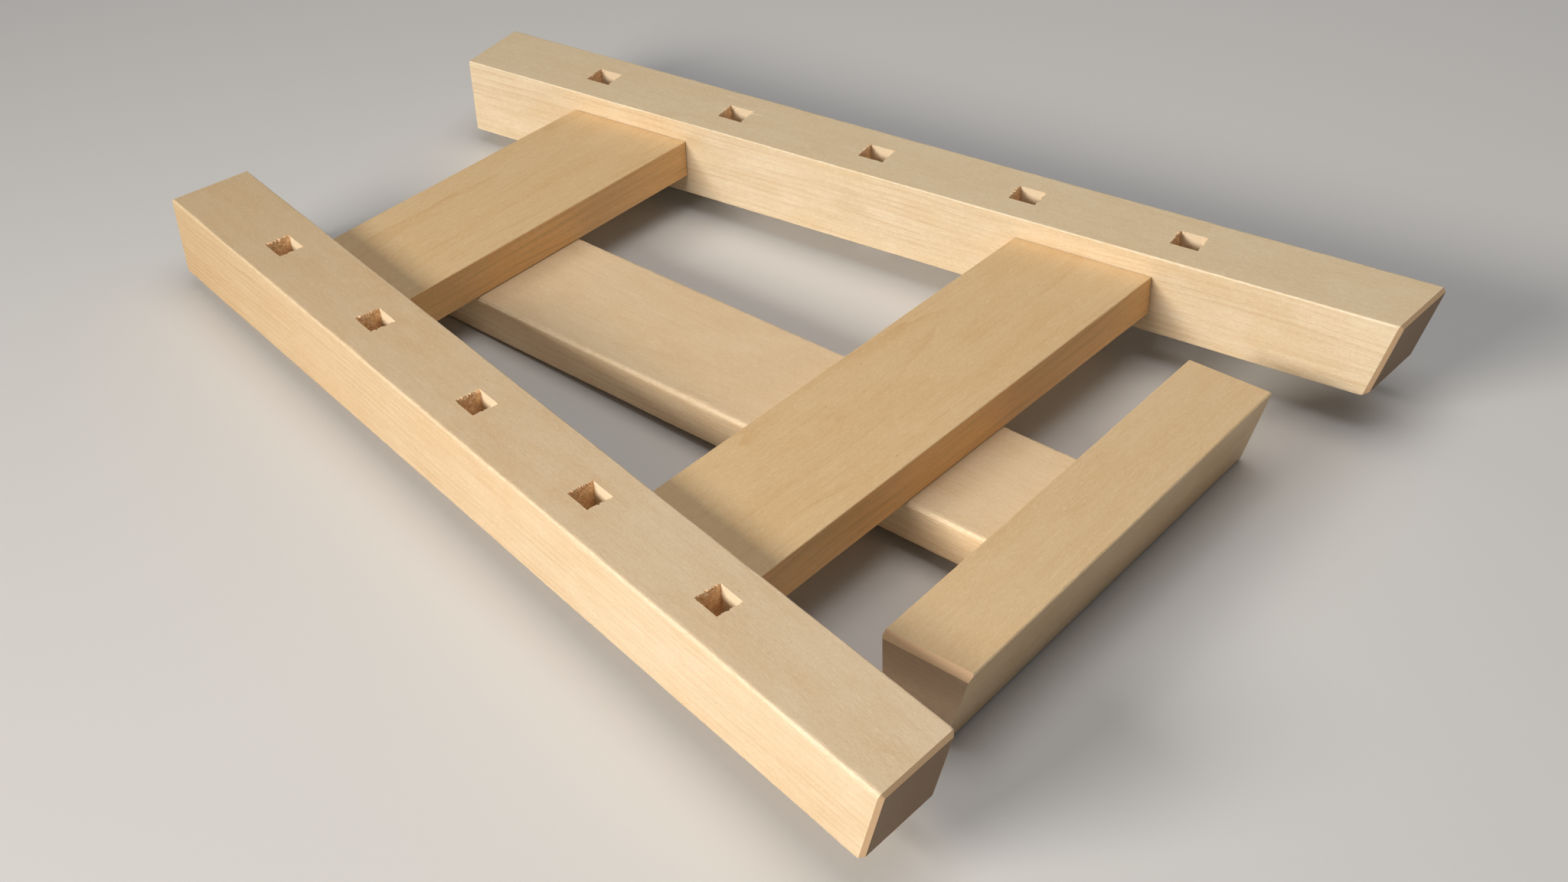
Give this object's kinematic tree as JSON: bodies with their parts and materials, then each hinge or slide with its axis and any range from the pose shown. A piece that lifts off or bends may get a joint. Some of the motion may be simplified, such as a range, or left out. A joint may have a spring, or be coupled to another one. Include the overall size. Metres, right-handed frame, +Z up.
{
  "type": "folding loom frame",
  "caption": "Wooden loom frame with splayed rails, square peg sockets, flat cross-boards and a hinged T-shaped rear leg, folded flat.",
  "frame": {"origin": "on the ground, below the centre of the folded loom", "axes": "+X from the head of the frame to its feet, +Y across the frame to the right-hand rail, +Z up, out of the front face of the frame, which lies folded on its leg and leans 1.3 degrees head down"},
  "size_m": [0.5002, 0.3854, 0.0592],
  "materials": {
    "rail_wood": "bare planed pale hardwood, fine straight grain",
    "board_wood": "bare planed pale hardwood, fine straight grain",
    "leg_wood": "bare planed pale hardwood, fine straight grain",
    "dowel_wood": "bare turned hardwood",
    "hinge_brass": "plain rolled brass, dull satin",
    "fastener_brass": "turned brass, dull satin"
  },
  "bodies": {
    "frame": {"left_rail": "rail_wood", "right_rail": "rail_wood", "upper_crossboard": "board_wood", "lower_crossboard": "board_wood", "dowel_upper_left_1": "dowel_wood", "dowel_upper_left_2": "dowel_wood", "dowel_upper_right_1": "dowel_wood", "dowel_upper_right_2": "dowel_wood", "dowel_lower_left_1": "dowel_wood", "dowel_lower_left_2": "dowel_wood", "dowel_lower_right_1": "dowel_wood", "dowel_lower_right_2": "dowel_wood", "hinge_left_fixed_leaf": "hinge_brass", "hinge_left_pin": "fastener_brass", "hinge_left_screw_1": "fastener_brass", "hinge_left_screw_2": "fastener_brass", "hinge_right_fixed_leaf": "hinge_brass", "hinge_right_pin": "fastener_brass", "hinge_right_screw_1": "fastener_brass", "hinge_right_screw_2": "fastener_brass"},
    "rear_leg": {"leg_stem": "leg_wood", "leg_foot_bar": "leg_wood", "dowel_foot_bar_1": "dowel_wood", "dowel_foot_bar_2": "dowel_wood", "hinge_left_moving_leaf": "hinge_brass", "hinge_left_screw_3": "fastener_brass", "hinge_left_screw_4": "fastener_brass", "hinge_right_moving_leaf": "hinge_brass", "hinge_right_screw_3": "fastener_brass", "hinge_right_screw_4": "fastener_brass"}
  },
  "joints": [
    {"name": "leg_hinge", "type": "hinge", "parent": "frame", "child": "rear_leg", "pos_m": [-0.13611, -0.01568, 0.01747], "axis": [-0.0314, 0.9995, 0], "range_deg": [0, 30]}
  ]
}
